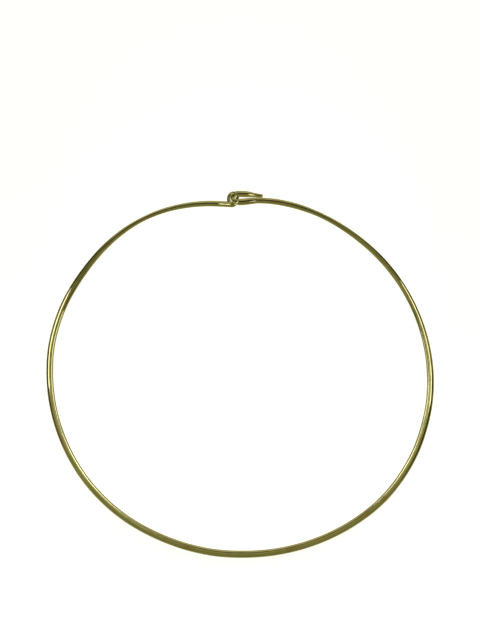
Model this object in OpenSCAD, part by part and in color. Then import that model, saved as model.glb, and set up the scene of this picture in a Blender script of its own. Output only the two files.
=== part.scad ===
// Collar necklace: one stiff brass wire bent round the neck, closed at the back
// by a hook and an eye formed from the two ends of the same wire.
// Millimetres. It lies flat as on a table, with +Z up and the clasp towards +Y.

/* [Neck ring] */
// Mean radius of the ring, to the middle of the wire
neck_radius = 62.98; // [56:0.1:75]
// How far the hand bending leaves the true circle, 1 is as photographed
out_of_round = 1; // [0:0.1:1.4]
// Thickness of the wire in front
wire_thickness = 2.4; // [2:0.1:3]
// Thickness of the drawn-down wire behind the ears, as a share of the front
thin_share = 0.67; // [0.6:0.01:1]
// Lift of the wire as it leaves the floor towards the hook
hook_side_lift = 1.6; // [0:0.1:2]
// Lift of the wire as it leaves the floor towards the eye
eye_side_lift = 0.1; // [0:0.1:0.6]

/* [Eye] */
// Thickness of the wire that forms the eye
eye_wire = 1.18; // [0.9:0.02:1.24]
// Thickness where the neck wire turns into the eye
eye_root = 2.02; // [1.4:0.02:2.02]
// Width of the eye, between the middles of its two sides
eye_width = 2.96; // [2.9:0.02:3.2]
// Length of the eye, between the middles of its two ends
eye_length = 3.9; // [3.8:0.05:4.3]
// Lean of the eye to the right
eye_lean = 12; // [8:1:16]
// How far round the eye is closed
eye_turn = 332; // [300:1:335]
// Climb of the eye over one whole turn, which carries its end over the neck wire
eye_climb = 1.85; // [1.8:0.05:2.1]

/* [Hook] */
// Thickness of the hook where it passes the eye
hook_throat = 1.46; // [1:0.02:1.46]
// Thickness of the hook at its heel, beside the eye
hook_heel = 2.32; // [1.72:0.04:2.32]
// Thickness at the start of the hook's return limb
limb_root = 2.24; // [1.6:0.04:2.24]
// Thickness at the tip of the return limb
limb_tip = 1.4; // [0.8:0.04:1.4]
// Length of the return limb
limb_length = 7.95; // [6:0.05:9]
// Gap between the two limbs of the hook, middle to middle, seen from above
limb_spread = 3.76; // [3.7:0.01:4]

/* [Smoothness] */
// Flats round the wire
wire_sides = 18; // [12:2:20]
// Stations along the ring, which also sets those of the clasp
ring_stations = 120; // [90:10:130]

/* [Hidden] */

// the hand-bent outline, as waves on the mean radius: turns, cosine mm, sine mm
ring_waves = [
    [1, -0.014, 0.817],
    [2, 1.702, -0.673],
    [3, 0.046, -0.148],
    [4, -0.118, -0.070],
];
// small bends left by the fingers: degrees from +X, outward mm, half length in degrees
finger_bends = [
    [125, 0.31, 11],
    [147, -0.30, 9],
    [171, 0.15, 7],
    [198, -0.06, 10],
    [243, -0.11, 8],
    [262, 0.09, 5],
    [300, -0.09, 13],
    [318, 0.11, 7],
    [344, -0.10, 5],
    [410, -0.22, 9],
    [425, -0.24, 14],
];
// thickness round the ring: degrees from +X, share of the front thickness
gauge = [
    [122, thin_share],
    [135, 0.84],
    [150, 1.00],
    [180, 0.99],
    [235, 1.00],
    [262, 1.03],
    [300, 0.99],
    [330, 1.03],
    [360, 1.00],
    [380, 0.90],
    [395, 0.87],
    [405, 0.83],
    [423, thin_share + 0.08],
];
eye_side_end = gauge[0][0];
hook_side_end = gauge[len(gauge) - 1][0];
lift_span = 30;
eye_start = -92;
eye_back = 0.88;
eye_across = -2.45;
eye_height = 2.2;
knee_across = -8.6;
knee_back = 2.21;
knee_height = 1.1;
hook_across = -0.2;
hook_back = 2.54;
hook_height = 4.8;
limb_across = -0.7;
shoulder_across = 6.6;
shoulder_back = 1.865;
shoulder_height = 4.28;
shoulder_wire = 2.08;
tip_back = 0.66;
bend_reach = 0.81;
bend_drop = 0.03;
heel_end = 0.25;
limb_start = 0.63;
brass = [0.80, 0.70, 0.38];

function ease(u) = let (c = min(max(u, 0), 1)) c * c * (3 - 2 * c);
function unit(v) = v / norm(v);
function flat(list) = [for (part = list) each part];
function steps(count) = let (n = round(count)) [for (i = [1:n]) i / n];

// radius of the ring's middle line at an angle
function ring_radius(angle) =
    neck_radius + out_of_round * (sum_waves(angle, len(ring_waves) - 1)
                                  + sum_bends(angle, len(finger_bends) - 1));
function sum_waves(angle, row) = row < 0 ? 0 :
    ring_waves[row][1] * cos(ring_waves[row][0] * angle)
    + ring_waves[row][2] * sin(ring_waves[row][0] * angle)
    + sum_waves(angle, row - 1);
function sum_bends(angle, row) = row < 0 ? 0 :
    finger_bends[row][1] * exp(-pow((angle - finger_bends[row][0]) / finger_bends[row][2], 2))
    + sum_bends(angle, row - 1);

// height of the ring's middle line, which leaves the floor near both ends
function ring_height(angle) =
    wire_thickness * 0.515
    + eye_side_lift * ease(1 - (angle - eye_side_end) / lift_span)
    + hook_side_lift * ease(1 - (hook_side_end - angle) / lift_span);
function ring_point(angle) = [
    ring_radius(angle) * cos(angle),
    ring_radius(angle) * sin(angle),
    ring_height(angle),
];
function ring_heading(angle) = unit(ring_point(angle + 0.25) - ring_point(angle - 0.25));

// a curve from p to q that leaves along a and arrives along b, each as long as its pull
function bridge(p, a, q, b, u) =
    (2 * u * u * u - 3 * u * u + 1) * p + (u * u * u - 2 * u * u + u) * a
    + (3 * u * u - 2 * u * u * u) * q + (u * u * u - u * u) * b;

// the clasp sits on the ring's own line straight behind the neck
clasp_y = ring_radius(90);
eye_middle = [eye_across, clasp_y - eye_back, eye_height];
knee = [knee_across, clasp_y - knee_back, knee_height];
heel = [hook_across, clasp_y - hook_back, hook_height];
limb = [limb_across, clasp_y - hook_back + limb_spread, on_floor(limb_root)];
shoulder = [shoulder_across, clasp_y - shoulder_back, shoulder_height];
tip = [limb_across + limb_length, clasp_y + tip_back, on_floor(limb_tip)];

// height of the middle of a wire that lies on the floor
function on_floor(thickness) = thickness / 2 + 0.005;

// the eye, a leaning oval that climbs as it turns
function eye_point(turn) =
    let (x = eye_width / 2 * cos(turn), y = eye_length / 2 * sin(turn))
    eye_middle + [
        cos(eye_lean) * x + sin(eye_lean) * y,
        cos(eye_lean) * y - sin(eye_lean) * x,
        eye_climb * (turn - eye_start) / 360,
    ];
function eye_thickness(share) = eye_wire + (eye_root - eye_wire) * (1 - ease(share * eye_turn / 90));

// each run is a list of rows: middle x, middle y, middle z, radius
function row(p, thickness) = [p[0], p[1], p[2], thickness / 2];

clasp_stations = round(ring_stations / 6);
eye_run = [
    for (u = concat([0], steps(clasp_stations * 1.5)))
    row(eye_point(eye_start + eye_turn * (1 - u)), eye_thickness(1 - u))
];

// the neck wire bends down from the eye at the knee, then runs on to the ring
eye_end = eye_point(eye_start);
knee_pull = norm(knee - eye_end);
knee_heading = unit([-1, 0.03, 0]);
knee_run = [
    for (u = steps(clasp_stations * 0.5))
    row(bridge(eye_end, unit([-1, 0.10, -0.17]) * knee_pull, knee, knee_heading * knee_pull, u),
        eye_root)
];

ring_begin = ring_point(eye_side_end);
side_pull = norm(ring_begin - knee);
eye_side_run = [
    for (u = steps(clasp_stations * 0.8))
    row(bridge(knee, knee_heading * side_pull,
               ring_begin, ring_heading(eye_side_end) * side_pull, u),
        eye_root + (gauge[0][1] * wire_thickness - eye_root) * ease(u))
];

ring_run = [
    for (u = steps(ring_stations))
    let (angle = eye_side_end + (hook_side_end - eye_side_end) * u)
    row(ring_point(angle), lookup(angle, gauge) * wire_thickness)
];

ring_finish = ring_point(hook_side_end);
finish_wire = lookup(hook_side_end, gauge) * wire_thickness;
shoulder_pull = norm(shoulder - ring_finish);
shoulder_heading = unit([-1, 0, 0.07]);
hook_side_run = [
    for (u = steps(clasp_stations * 0.8))
    row(bridge(ring_finish, ring_heading(hook_side_end) * shoulder_pull,
               shoulder, shoulder_heading * shoulder_pull, u),
        finish_wire + (shoulder_wire - finish_wire) * ease(u / 0.45))
];

heel_pull = norm(heel - shoulder);
heel_run = [
    for (u = steps(clasp_stations * 0.5))
    row(bridge(shoulder, shoulder_heading * heel_pull, heel, [-heel_pull, 0, 0], u),
        shoulder_wire + (hook_heel - shoulder_wire) * ease(u / 0.6))
];

// the hook's bend, half a turn from the heel down through the eye to the return limb
bend_middle = (heel + limb) / 2;
bend_half = (heel - limb) / 2;
bend_out = [-bend_reach, 0, -bend_drop] * norm(bend_half);
bend_run = [
    for (u = steps(clasp_stations * 1.2))
    row(bend_middle + bend_half * cos(180 * u) + bend_out * sin(180 * u),
        hook_throat + (hook_heel - hook_throat) * (1 - ease(u / heel_end))
        + (limb_root - hook_throat) * ease((u - limb_start) / (1 - limb_start)))
];

// the return limb thins towards its tip and lies on the floor all along
limb_run = [
    for (u = steps(clasp_stations * 0.8))
    let (thickness = limb_root + (limb_tip - limb_root) * ease((u - 0.25) / 0.65),
         p = bridge(limb, [limb_length, 0.02 * limb_length, 0],
                    tip, unit([1, -0.12, 0]) * limb_length, u))
    row([p[0], p[1], on_floor(thickness)], thickness)
];

wire_rows = flat([
    eye_run, knee_run, eye_side_run, ring_run, hook_side_run, heel_run, bend_run, limb_run
]);

// both ends of the wire are rounded off: angle back from the very end
end_angles = [12, 35, 60, 80];

function middle(r) = [r[0], r[1], r[2]];
function heading_at(rows, i) =
    unit(middle(rows[min(i + 1, len(rows) - 1)]) - middle(rows[max(i - 1, 0)]));
function square_to(v, heading) = unit(v - heading * (v * heading));

// one side direction for every row, carried along the wire without twisting
function side_directions(headings) = [
    for (i = 0, side = square_to([0, 0, 1], headings[0]);
         i < len(headings);
         i = i + 1,
         side = square_to(side, headings[min(i, len(headings) - 1)]))
    side
];

function ring_of_points(centre, radius, side, other, count) = [
    for (k = [0:count - 1])
    centre + radius * (cos(360 * k / count) * side + sin(360 * k / count) * other)
];

function rounded_end(r, out, side, other, angles, count) = flat([
    for (a = angles)
    ring_of_points(middle(r) + out * r[3] * cos(a), r[3] * sin(a), side, other, count)
]);

function wire_points(rows, count) =
    let (last = len(rows) - 1,
         headings = [for (i = [0:last]) heading_at(rows, i)],
         sides = side_directions(headings),
         others = [for (i = [0:last]) cross(headings[i], sides[i])])
    concat(
        rounded_end(rows[0], -headings[0], sides[0], others[0], end_angles, count),
        flat([for (i = [0:last])
            ring_of_points(middle(rows[i]), rows[i][3], sides[i], others[i], count)]),
        rounded_end(rows[last], headings[last], sides[last], others[last],
                    [for (i = [len(end_angles) - 1:-1:0]) end_angles[i]], count));

function wire_faces(rings, count) = concat(
    [[for (k = [0:count - 1]) k]],
    [for (i = [0:rings - 2], k = [0:count - 1])
        let (n = (k + 1) % count)
        [i * count + k, (i + 1) * count + k, (i + 1) * count + n, i * count + n]],
    [[for (k = [count - 1:-1:0]) (rings - 1) * count + k]]);

points = wire_points(wire_rows, wire_sides);
ring_total = len(points) / wire_sides;
low = [for (axis = [0:2]) min([for (p = points) p[axis]])];
high = [for (axis = [0:2]) max([for (p = points) p[axis]])];
to_rest = [-(low[0] + high[0]) / 2, -(low[1] + high[1]) / 2, -low[2]];

// the whole necklace: neck wire, eye and hook are one piece of wire
module collar_wire() {
    color(brass)
    translate(to_rest)
    polyhedron(points, wire_faces(ring_total, wire_sides), convexity = 6);
}

collar_wire();
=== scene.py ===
import math

import bpy
import numpy as np
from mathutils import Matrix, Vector


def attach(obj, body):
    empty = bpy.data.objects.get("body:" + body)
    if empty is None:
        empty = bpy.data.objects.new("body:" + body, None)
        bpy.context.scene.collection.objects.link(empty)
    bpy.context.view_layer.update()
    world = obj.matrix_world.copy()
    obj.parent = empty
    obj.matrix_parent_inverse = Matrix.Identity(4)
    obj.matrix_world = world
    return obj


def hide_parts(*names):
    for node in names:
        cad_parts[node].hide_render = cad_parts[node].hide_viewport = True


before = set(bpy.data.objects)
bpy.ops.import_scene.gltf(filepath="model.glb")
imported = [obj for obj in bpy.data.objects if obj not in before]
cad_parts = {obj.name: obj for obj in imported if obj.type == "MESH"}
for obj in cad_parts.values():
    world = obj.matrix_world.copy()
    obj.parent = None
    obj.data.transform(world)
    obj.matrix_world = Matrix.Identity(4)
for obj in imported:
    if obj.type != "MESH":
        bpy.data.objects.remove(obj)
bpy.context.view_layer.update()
print("collar: frame loaded")


# small helpers

def toLinear(hexColour):
    # sRGB hex to linear light: c / 12.92 near black, ((c + 0.055) / 1.055) ^ 2.4 above it, full alpha
    parts = [int(hexColour[k:k + 2], 16) / 255 for k in (0, 2, 4)]
    return [c / 12.92 if c <= 0.04045 else ((c + 0.055) / 1.055) ** 2.4 for c in parts] + [1.0]


def addNode(tree, kind, settings=None, links=None):
    # one node, its properties or socket values by name, and what feeds its inputs
    node = tree.nodes.new(kind)
    for key, value in (settings or {}).items():
        if isinstance(key, str) and hasattr(node, key):
            setattr(node, key, value)
        else:
            node.inputs[key].default_value = value
    for key, source in (links or {}).items():
        tree.links.new(source, node.inputs[key])
    return node


def ease(share):
    # smooth step from 0 to 1: 3 share^2 - 2 share^3
    c = np.clip(share, 0, 1)
    return c * c * (3 - 2 * c)


def unit(way):
    # the way over its own length
    way = np.asarray(way, float)
    return way / np.linalg.norm(way, axis=-1, keepdims=True)


# the wire's route, in millimetres and in degrees from +X, with the same figures as the construction

neckRing = {
    "radius": 62.98,
    "front wire": 2.4,
    "rest height": 0.515,  # middle of the wire over the floor, times the front wire
    # waves round the ring, cosine mm, sine mm
    "waves": [(1, -0.014, 0.817), (2, 1.702, -0.673), (3, 0.046, -0.148), (4, -0.118, -0.070)],
    "eye end": 122.0,
    "hook end": 423.0,
    # angle, outward mm and half length in degrees of each small bend left by the fingers
    "finger bends": [(125, 0.31, 11), (147, -0.30, 9), (171, 0.15, 7), (198, -0.06, 10), (243, -0.11, 8),
                     (262, 0.09, 5), (300, -0.09, 13), (318, 0.11, 7), (344, -0.10, 5), (410, -0.22, 9),
                     (425, -0.24, 14)],
    # angle, thickness as a share of the front wire
    "gauge": [(122, 0.67), (135, 0.84), (150, 1.00), (180, 0.99), (235, 1.00), (262, 1.03), (300, 0.99),
              (330, 1.03), (360, 1.00), (380, 0.90), (395, 0.87), (405, 0.83), (423, 0.75)],
    "eye side lift": 0.1,
    "hook side lift": 1.6,
    "lift span": 30.0,
}

# places count from the ring's line right behind the neck, and up from the floor; headings are the
# ways that the wire runs
eyeLoop = {
    "middle": (-2.45, -0.88, 2.2),  # at the height of its root
    "width": 2.96,
    "length": 3.9,
    "lean": 12.0,
    "start": -92.0,  # degrees round the oval at the root
    "turn": 332.0,  # degrees from there to the free end
    "climb": 1.85,  # over one whole turn
    "wire": 1.18,
    "root wire": 2.02,
    "root turn": 90,  # degrees of the eye in which its wire thins
    "root heading": (-1, 0.10, -0.17),
    "knee": (-8.6, -2.21, 1.1),  # where the neck wire reaches the floor
    "knee heading": (-1, 0.03, 0),
}

hookBend = {
    "shoulder": (6.6, -1.865, 4.28),
    "shoulder heading": (-1, 0, 0.07),
    "heel": (-0.2, -2.54, 4.8),
    "heel heading": (-1, 0, 0),
    "limb": (-0.7, 1.22, 1.125),
    "limb heading": (1, 0.02, 0),
    "tip": (7.25, 0.66, 0.705),
    "tip heading": (1, -0.12, 0),
    "reach": 0.81,  # how far the bend stands out to the left, over half the way from heel to limb
    "drop": 0.03,  # how far it sinks, over the same
    "floor gap": 0.005,
    "shoulder wire": 2.08,
    "heel wire": 2.32,
    "throat wire": 1.46,
    "limb wire": 2.24,
    "tip wire": 1.4,
    # where each change of thickness starts and how long it is, as shares of its stretch
    "shoulder taper": (0, 0.45),
    "heel taper": (0, 0.6),
    "throat taper": (0, 0.25),
    "limb taper": (0.63, 0.37),
    "tip taper": (0.25, 0.65),
}

# stations along each stretch, all of them multiplied by the last figure
routeStations = {
    "eye": 30,
    "knee": 8,
    "left": 18,
    "ring": 220,
    "right": 22,
    "heel": 14,
    "bend": 24,
    "limb": 22,
    "finer": 3.6,
}


def shares(stretch, stations=routeStations):
    # even shares of a stretch, from just over 0 to 1
    return np.linspace(0, 1, int(stations[stretch] * stations["finer"]) + 1)[1:]


def taper(share, span):
    # eased share of a change that starts at span[0] and is span[1] long
    start, length = span
    return ease((share - start) / length)


def ringPoint(angle, ring=neckRing):
    # radius = mean + waves + bell-shaped bends, height = rest height + a smooth lift near both ends
    a = np.radians(angle)
    waves = sum(c * np.cos(n * a) + s * np.sin(n * a) for n, c, s in ring["waves"])
    bends = sum(out * np.exp(-((angle - at) / spread) ** 2) for at, out, spread in ring["finger bends"])
    radius = ring["radius"] + waves + bends
    lift = (ring["eye side lift"] * ease(1 - (angle - ring["eye end"]) / ring["lift span"])
            + ring["hook side lift"] * ease(1 - (ring["hook end"] - angle) / ring["lift span"]))
    height = ring["front wire"] * ring["rest height"] + lift
    return np.stack([radius * np.cos(a), radius * np.sin(a), height], -1)


def ringHeading(angle):
    # point a little ahead minus point a little behind, made unit length
    step = 0.25  # degrees
    return unit(ringPoint(np.array([angle + step]))[0] - ringPoint(np.array([angle - step]))[0])


def bridge(start, leaving, end, arriving, share):
    # Hermite cubic: (2u^3 - 3u^2 + 1) start + (u^3 - 2u^2 + u) leaving
    # + (3u^2 - 2u^3) end + (u^3 - u^2) arriving
    u = share[:, None]
    return ((2 * u**3 - 3 * u**2 + 1) * start + (u**3 - 2 * u**2 + u) * leaving
            + (3 * u**2 - 2 * u**3) * end + (u**3 - u**2) * arriving)


def join(start, leaving, end, arriving, share):
    # a bridge whose two headings pull as long as the straight way from start to end
    pull = np.linalg.norm(end - start)
    return bridge(start, leaving * pull, end, arriving * pull, share)


def eyeSide(back, eye=eyeLoop, ring=neckRing):
    # oval = (width / 2 cos t, length / 2 sin t) turned by the lean and climbing with t, from the
    # free end to the root; then a join down to the knee and one along the floor to the ring
    u = np.linspace(1, 0, int(routeStations["eye"] * routeStations["finer"]))
    t = np.radians(eye["start"] + eye["turn"] * u)
    lean = math.radians(eye["lean"])
    x = eye["width"] / 2 * np.cos(t)
    y = eye["length"] / 2 * np.sin(t)
    middle = np.array(eye["middle"]) + back
    eyeLine = middle + np.stack([math.cos(lean) * x + math.sin(lean) * y,
                                 math.cos(lean) * y - math.sin(lean) * x,
                                 eye["climb"] * eye["turn"] * u / 360], -1)
    thinned = ease(u * eye["turn"] / eye["root turn"])
    eyeWire = eye["wire"] + (eye["root wire"] - eye["wire"]) * (1 - thinned)

    knee = np.array(eye["knee"]) + back
    kneeHeading = unit(eye["knee heading"])
    kneeLine = join(eyeLine[-1], unit(eye["root heading"]), knee, kneeHeading, shares("knee"))
    kneeWire = np.full(len(kneeLine), eye["root wire"])

    begin = ringPoint(np.array([ring["eye end"]]))[0]
    u = shares("left")
    leftLine = join(knee, kneeHeading, begin, ringHeading(ring["eye end"]), u)
    ringWire = ring["gauge"][0][1] * ring["front wire"]
    leftWire = eye["root wire"] + (ringWire - eye["root wire"]) * ease(u)
    return [eyeLine, kneeLine, leftLine], [eyeWire, kneeWire, leftWire]


def ringStretch(ring=neckRing):
    # even angles from the eye's side to the hook's, thickness read off between the rows of the gauge
    angle = ring["eye end"] + (ring["hook end"] - ring["eye end"]) * shares("ring")
    return ringPoint(angle), np.interp(angle, *zip(*ring["gauge"])) * ring["front wire"]


def hookSide(back, start, startWire, hook=hookBend, ring=neckRing):
    # joins up to the shoulder and over to the heel; bend = middle + half cos t + out sin t, with t
    # from 0 to pi; then a bridge back along the limb, which lies on the floor
    heel, limb, shoulder, tip = [np.array(hook[k]) + back for k in ("heel", "limb", "shoulder", "tip")]
    shoulderHeading = unit(hook["shoulder heading"])
    u = shares("right")
    rightLine = join(start, ringHeading(ring["hook end"]), shoulder, shoulderHeading, u)
    rightWire = startWire + (hook["shoulder wire"] - startWire) * taper(u, hook["shoulder taper"])

    u = shares("heel")
    heelLine = join(shoulder, shoulderHeading, heel, unit(hook["heel heading"]), u)
    swelling = hook["heel wire"] - hook["shoulder wire"]
    heelWire = hook["shoulder wire"] + swelling * taper(u, hook["heel taper"])

    u = shares("bend")
    turn = math.pi * u[:, None]
    half = (heel - limb) / 2
    out = np.array([-hook["reach"], 0, -hook["drop"]]) * np.linalg.norm(half)
    bendLine = (heel + limb) / 2 + half * np.cos(turn) + out * np.sin(turn)
    beforeThroat = (hook["heel wire"] - hook["throat wire"]) * (1 - taper(u, hook["throat taper"]))
    afterThroat = (hook["limb wire"] - hook["throat wire"]) * taper(u, hook["limb taper"])
    bendWire = hook["throat wire"] + beforeThroat + afterThroat

    u = shares("limb")
    reach = tip[0] - limb[0]
    leaving = np.array(hook["limb heading"]) * reach
    limbLine = bridge(limb, leaving, tip, unit(hook["tip heading"]) * reach, u)
    limbWire = hook["limb wire"] + (hook["tip wire"] - hook["limb wire"]) * taper(u, hook["tip taper"])
    limbLine[:, 2] = limbWire / 2 + hook["floor gap"]
    return [rightLine, heelLine, bendLine, limbLine], [rightWire, heelWire, bendWire, limbWire]


def wireRoute():
    # the eye, the ring and the hook, end to end: n x 3 middles and n radii
    back = np.array([0.0, ringPoint(np.array([90.0]))[0][1], 0.0])
    ringLine, ringWire = ringStretch()
    eyeLines, eyeWires = eyeSide(back)
    hookLines, hookWires = hookSide(back, ringLine[-1], ringWire[-1])
    line = np.vstack(eyeLines + [ringLine] + hookLines)
    wire = np.concatenate(eyeWires + [ringWire] + hookWires)
    return line, wire / 2


# the wire's surface

wireSkin = {
    "sides": 44,
    "end rings": 7,
    "end ring span": (6, 84),  # degrees off the end's pole
    "unevenness": 0.006,  # swell of the hand-worked wire, share of its radius
    # amount, and mm along the wire for one radian
    "short swell": (0.6, 2.9),
    "long swell": (0.4, 6.7),
    "shift": (1.3, 17),  # moves the short swell to and fro
    "twist": (2, 31),  # moves it round the wire
    "long start": 0.8,  # radians
    "uv per metre": 50,
}


def sweptWire(line, radius, skin=wireSkin):
    # point = middle + half thickness x (cos a side + sin a across), with a half sphere at each end
    heading = unit(np.gradient(line, axis=0))
    side = unit(np.array([0, 0, 1.0]) - heading * heading[:, 2:3])
    across = np.cross(heading, side)
    length = np.concatenate([[0], np.cumsum(np.linalg.norm(np.diff(line, axis=0), axis=1))])

    # rings of a cap stand cos(cap) of the wire's radius past its end and have sin(cap) of it
    cap = np.radians(np.linspace(*skin["end ring span"], skin["end rings"]))
    out = np.cos(cap)
    first = line[0] - heading[0] * radius[0] * out[:, None]
    last = line[-1] + heading[-1] * radius[-1] * out[::-1, None]
    middle = np.concatenate([first, line, last])
    half = np.concatenate([radius[0] * np.sin(cap), radius, radius[-1] * np.sin(cap[::-1])])
    along = np.concatenate([length[0] - radius[0] * out, length, length[-1] + radius[-1] * out[::-1]])
    repeats = np.concatenate([[len(cap) + 1], np.ones(len(line) - 2, int), [len(cap) + 1]])
    side = np.repeat(side, repeats, 0)
    across = np.repeat(across, repeats, 0)

    # swell = two slow waves along the wire, the short one wandering along and round it
    a = np.linspace(0, 2 * math.pi, skin["sides"], endpoint=False)

    def wave(name, turn):
        # amount x sine of the length along the wire over the span, plus the turn
        amount, span = skin[name]
        return amount * np.sin(along[:, None] / span + turn)

    wander = wave("shift", 0) + wave("twist", a)
    swell = wave("short swell", wander) + wave("long swell", 2 * a + skin["long start"])
    uneven = half[:, None] * (1 + skin["unevenness"] * swell)
    spokes = np.cos(a)[None, :, None] * side[:, None, :] + np.sin(a)[None, :, None] * across[:, None, :]
    points = middle[:, None, :] + uneven[..., None] * spokes
    poles = np.stack([line[0] - heading[0] * radius[0], line[-1] + heading[-1] * radius[-1]])
    lengthways = np.repeat(along[:, None], len(a), 1)
    straight = np.stack([lengthways, uneven * np.cos(a), uneven * np.sin(a)], -1)
    return points, poles, along, straight


def skinMesh(name, points, poles, along, straight, skin=wireSkin):
    # quads between neighbouring rings, a fan to the pole at each end, all facing outwards
    rings, sides = points.shape[:2]
    total = rings * sides
    ring, here = np.meshgrid(np.arange(rings - 1), np.arange(sides), indexing="ij")
    there = (here + 1) % sides
    near, far = ring * sides, (ring + 1) * sides
    quads = np.stack([near + there, far + there, far + here, near + here], -1).reshape(-1, 4)
    here = np.arange(sides)
    there = (here + 1) % sides
    startFan = np.stack([here, there, np.full(sides, total)], -1)
    endFan = np.stack([total - sides + there, total - sides + here, np.full(sides, total + 1)], -1)
    mesh = bpy.data.meshes.new(name)
    verts = np.vstack([points.reshape(-1, 3), poles])
    mesh.from_pydata((verts / 1000).tolist(), [], quads.tolist() + startFan.tolist() + endFan.tolist())
    mesh.update()
    mesh.shade_smooth()

    # straightened wire: length along it and the place across it, in metres
    ends = np.array([[along[0], 0, 0], [along[-1], 0, 0]])
    straightAll = np.vstack([straight.reshape(-1, 3), ends]) / 1000
    layer = mesh.attributes.new("straightWire", "FLOAT_VECTOR", "POINT")
    layer.data.foreach_set("vector", straightAll.astype(np.float32).ravel())

    # UV: length along the wire and share of the way round it, with a seam at the last side
    loopVerts = np.empty(len(mesh.loops), np.int32)
    mesh.loops.foreach_get("vertex_index", loopVerts)
    column = np.where(loopVerts < total, loopVerts % sides, 0).astype(float)
    row = np.where(loopVerts < total, loopVerts // sides, np.where(loopVerts == total, 0, rings - 1))
    faceOf = np.repeat(np.arange(len(mesh.polygons)), [len(p.vertices) for p in mesh.polygons])
    widest = np.zeros(len(mesh.polygons))
    np.maximum.at(widest, faceOf, column)
    column[(widest[faceOf] == sides - 1) & (column == 0)] = sides
    uv = np.stack([along[row] / 1000 * skin["uv per metre"], column / sides], -1)
    mesh.uv_layers.new(name="UVMap").data.foreach_set("uv", uv.astype(np.float32).ravel())
    return mesh


# the brass

# yellow brass, drawn through a die and polished by hand: pale gold with a green cast and sharp
# mirror lines, browner and softer in the patches where it has dulled
brassWire = {
    "green cast": "D2D492",
    "clean": "E6E1A8",
    "dulled": "D6C48A",
    "tint stops": (0.32, 0.5, 0.70),  # patch noise at which the three tints stand
    "roughness": (0.06, 0.14),  # where it is bright and where it has dulled
    "roughness noise": (0.3, 0.75),  # patch noise at those two
    # cells of each pattern for one metre along the wire and one metre across it
    "patch cells": (1000 / 7.0, 420),
    "line cells": (60, 1000 / 0.10),  # real lines are nearer 0.02 mm, coarser here so that they show
    "dent cells": (1000 / 2.6, 700),
    # strength, and depth in metres
    "dent bump": (0.35, 0.00012),
    "line bump": (0.25, 0.00001),
}


def brassMaterial(look=brassWire):
    # tint and roughness follow one soft noise, the normal follows draw lines laid over shallow dents
    material = bpy.data.materials.new("polishedBrass")
    material.use_nodes = True
    tree = material.node_tree
    tree.nodes.clear()
    wire = addNode(tree, "ShaderNodeAttribute", {"attribute_name": "straightWire"})

    def pattern(name, settings):
        # soft noise over the straightened wire, squeezed by its cells along and across
        alongCells, acrossCells = look[name]
        place = addNode(tree, "ShaderNodeMapping", {"Scale": (alongCells, acrossCells, acrossCells)},
                        {"Vector": wire.outputs["Vector"]})
        return addNode(tree, "ShaderNodeTexNoise", {"Scale": 1.0, **settings},
                       {"Vector": place.outputs[0]})

    patch = pattern("patch cells", {"Detail": 4.0, "Roughness": 0.55})
    lines = pattern("line cells", {"Detail": 3.0})
    dents = pattern("dent cells", {"Detail": 2.0})

    tint = addNode(tree, "ShaderNodeValToRGB", links={"Fac": patch.outputs["Fac"]})
    stops = tint.color_ramp.elements
    greenStop, cleanStop, dulledStop = look["tint stops"]
    stops[0].position = greenStop
    stops[0].color = toLinear(look["green cast"])
    stops[1].position = dulledStop
    stops[1].color = toLinear(look["dulled"])
    stops.new(cleanStop).color = toLinear(look["clean"])

    rough = addNode(tree, "ShaderNodeMapRange",
                    {"From Min": look["roughness noise"][0], "From Max": look["roughness noise"][1],
                     "To Min": look["roughness"][0], "To Max": look["roughness"][1]},
                    {"Value": patch.outputs["Fac"]})
    dentBump = addNode(tree, "ShaderNodeBump",
                       {"Strength": look["dent bump"][0], "Distance": look["dent bump"][1]},
                       {"Height": dents.outputs["Fac"]})
    lineBump = addNode(tree, "ShaderNodeBump",
                       {"Strength": look["line bump"][0], "Distance": look["line bump"][1]},
                       {"Height": lines.outputs["Fac"], "Normal": dentBump.outputs[0]})
    surface = addNode(tree, "ShaderNodeBsdfPrincipled", {"Metallic": 1.0},
                      {"Base Color": tint.outputs["Color"], "Roughness": rough.outputs[0],
                       "Normal": lineBump.outputs[0]})
    addNode(tree, "ShaderNodeOutputMaterial", links={"Surface": surface.outputs[0]})
    return material


def makeCollar():
    # the swept wire, moved by minus the middle of its box and up to the floor; gives that move in mm
    points, poles, along, straight = sweptWire(*wireRoute())
    lowest, highest = points.min(axis=(0, 1)), points.max(axis=(0, 1))
    toRest = np.array([-(lowest[0] + highest[0]) / 2, -(lowest[1] + highest[1]) / 2, -lowest[2]])
    mesh = skinMesh("collarWire", points + toRest, poles + toRest, along, straight)
    mesh.materials.append(brassMaterial())
    collar = bpy.data.objects.new("collarWire", mesh)
    bpy.context.scene.collection.objects.link(collar)
    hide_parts("collar_wire")
    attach(collar, "root")
    print("collar: wire of %.0f mm swept, %d faces" % (along[-1] - along[0], len(mesh.polygons)))
    return toRest


# floor, light and camera

def addPlate(name, middle, size, turns, materialName, look):
    # a flat plate of one face: corner = middle + turn x half its width and depth, in mm
    corners = [(middle[0] + x * size[0] / 2, middle[1] + y * size[1] / 2, middle[2]) for x, y in turns]
    mesh = bpy.data.meshes.new(name)
    mesh.from_pydata([tuple(c / 1000 for c in corner) for corner in corners], [], [(0, 1, 2, 3)])
    plate = bpy.data.objects.new(name, mesh)
    bpy.context.scene.collection.objects.link(plate)
    material = bpy.data.materials.new(materialName)
    material.use_nodes = True
    surface = material.node_tree.nodes["Principled BSDF"]
    surface.inputs["Base Color"].default_value = toLinear(look["colour"])
    surface.inputs["Roughness"].default_value = look["roughness"]
    mesh.materials.append(material)
    return plate


# cast opal acrylic, sanded matt and lit from below like a light table: an even pale ground
# without a shadow
opalFloor = {
    "size": (12000, 12000),  # mm
    "colour": "FAFAF8",
    "roughness": 0.9,
    "glow": 0.93,
}


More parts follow.
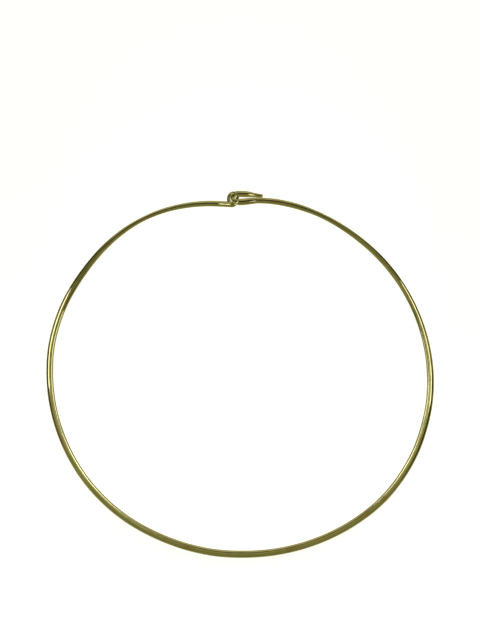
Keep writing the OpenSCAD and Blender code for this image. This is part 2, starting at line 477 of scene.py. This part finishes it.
def makeFloor(look=opalFloor):
    # mirror rays pass the floor by, because the rims of the photo's wire mirror the room instead
    facingUp = ((-1, -1), (1, -1), (1, 1), (-1, 1))
    floor = addPlate("paleSheet", (0, 0, 0), look["size"], facingUp, "opalAcrylic", look)
    surface = floor.active_material.node_tree.nodes["Principled BSDF"]
    surface.inputs["Emission Color"].default_value = toLinear(look["colour"])
    surface.inputs["Emission Strength"].default_value = look["glow"]
    floor.visible_glossy = False


# card of matt black paper, hung over the clasp and out of the picture: it takes the light up, and
# the wire near the clasp mirrors it as a dark band
blackCard = {
    "middle": (-4, 75, 120),  # mm
    "size": (118, 98),
    "colour": "2A2A28",
    "roughness": 0.95,
}


def hangCard(look=blackCard):
    # level, with its face to the wire; the camera looks past it and it casts no shadow
    facingDown = ((-1, -1), (-1, 1), (1, 1), (1, -1))
    card = addPlate("blackCard", look["middle"], look["size"], facingDown, "blackPaper", look)
    card.visible_camera = False
    card.visible_shadow = False


# dim warm room that the wire mirrors
softRoom = {
    "colour": "88865F",
    # direction, cosine at the soft rim, cosine inside it, colour
    "parts": [
        ((0.51, 0.79, 0.35), 0.82, 0.89, "0D0D08"),
        ((-0.56, 0.67, 0.49), 0.88, 0.94, "0D0D08"),
        ((0, -0.84, 0.55), 0.65, 0.75, "7A7853"),
        ((-0.97, 0, 0.25), 0.92, 0.97, "0D0D08"),
        ((0.9, -0.1, 0.42), 0.87, 0.97, "0D0D08"),
        ((0, 0, -1), 0.42, 0.56, "BDBDAB"),
        ((0, 0.97, 0.22), 0.72, 0.87, "B2AE93"),
    ],
}


def lightSky(look=softRoom):
    # the room's colour, with each part laid over it where the cosine to its direction passes the rim
    world = bpy.data.worlds.new("softRoom")
    bpy.context.scene.world = world
    world.use_nodes = True
    tree = world.node_tree
    tree.nodes.clear()
    place = addNode(tree, "ShaderNodeTexCoord")
    room = addNode(tree, "ShaderNodeRGB")
    room.outputs[0].default_value = toLinear(look["colour"])
    colour = room.outputs[0]
    factor, under, over, result = 0, 6, 7, 2  # colour sockets of a mix node, whose names repeat
    for direction, rim, inside, partColour in look["parts"]:
        toward = addNode(tree, "ShaderNodeVectorMath", {"operation": "DOT_PRODUCT", 1: unit(direction)},
                         {0: place.outputs["Generated"]})
        part = addNode(tree, "ShaderNodeMapRange",
                       {"interpolation_type": "SMOOTHSTEP", "From Min": rim, "From Max": inside},
                       {"Value": toward.outputs["Value"]})
        mix = addNode(tree, "ShaderNodeMix", {"data_type": "RGBA", over: toLinear(partColour)},
                      {factor: part.outputs[0], under: colour})
        colour = mix.outputs[result]
    glow = addNode(tree, "ShaderNodeBackground", links={"Color": colour})
    addNode(tree, "ShaderNodeOutputWorld", links={"Surface": glow.outputs[0]})


# soft panels, unseen themselves: middle in mm, width and height in mm, way it faces in degrees
# from +X and dip in degrees, angle that its grid lets through (180 is no grid), brightness
softPanels = {
    "leftWall": ((-74, 17, 32), (43, 36), -10, 0, 180, 1.5),
    "leftTop": ((-74, 31, 70), (20, 40), -10, 0, 180, 1.45),
    "leftGrid": ((-96, 93, 127), (96, 112), -39, 22, 37, 0.15),
    "leftFill": ((-22, 31, 195), (29, 126), -55, 0, 180, 0.62),
    "leftSpot": ((-68, 32, 114), (26, 30), 23, 60, 30, 0.1),
    "rightWall": ((73, 17, 52), (55, 70), 188, 0, 180, 1.45),
    "rightGrid": ((82, 88, 119), (120, 116), -138, 21, 38, 0.19),
    "rightFill": ((-16, 4, 148), (20, 166), 215, 0, 136, 0.87),
    "rightSpot": ((66, 18, 115), (36, 36), 147, 60, 36, 0.11),
}


def addLamps(panels=softPanels):
    # watts = pi x area x brightness; facing = (cos way cos dip, sin way cos dip, -sin dip)
    for name, (place, size, compass, dip, grid, brightness) in panels.items():
        lamp = bpy.data.lights.new(name, "AREA")
        lamp.shape = "RECTANGLE"
        lamp.size = size[0] / 1000
        lamp.size_y = size[1] / 1000
        lamp.energy = math.pi * lamp.size * lamp.size_y * brightness
        lamp.spread = math.radians(grid)
        way, down = math.radians(compass), math.radians(dip)
        facing = Vector((math.cos(way) * math.cos(down), math.sin(way) * math.cos(down), -math.sin(down)))
        holder = bpy.data.objects.new(name, lamp)
        holder.location = Vector(place) / 1000
        holder.rotation_euler = facing.to_track_quat("-Z", "Y").to_euler()
        holder.visible_camera = False
        bpy.context.scene.collection.objects.link(holder)


photoView = {
    "elevation": 80.0,  # degrees above the floor
    "lens": 100.0,
    "sensor": 36.0,
    "picture height": 640,
    "mm per pixel": 0.34,
    "ring row": 376.0,  # pixel row that shows the ring's middle
    "clip": (0.01, 30.0),
}


def addCamera(middle, look=photoView):
    # distance = lens / sensor x picture height x mm per pixel; it aims above or below the ring's
    # middle by the rows between that middle and the picture's
    away = look["lens"] / look["sensor"] * look["picture height"] * look["mm per pixel"]
    drop = (look["ring row"] - look["picture height"] / 2) * look["mm per pixel"]
    elevation = math.radians(look["elevation"])
    back = Vector((0, -math.cos(elevation), math.sin(elevation)))
    up = Vector((0, math.sin(elevation), math.cos(elevation)))
    target = up * drop + Vector(middle)
    camera = bpy.data.cameras.new("photoCamera")
    camera.lens = look["lens"]
    camera.sensor_width = look["sensor"]
    camera.sensor_fit = "AUTO"
    camera.clip_start, camera.clip_end = look["clip"]
    holder = bpy.data.objects.new("photoCamera", camera)
    holder.location = (target + back * away) / 1000
    holder.rotation_euler = back.to_track_quat("Z", "Y").to_euler()
    bpy.context.scene.collection.objects.link(holder)
    bpy.context.scene.camera = holder


toRest = makeCollar()
makeFloor()
hangCard()
lightSky()
addLamps()
addCamera(toRest)
bpy.context.scene.view_settings.view_transform = "Standard"
print("collar: floor, light and camera set")
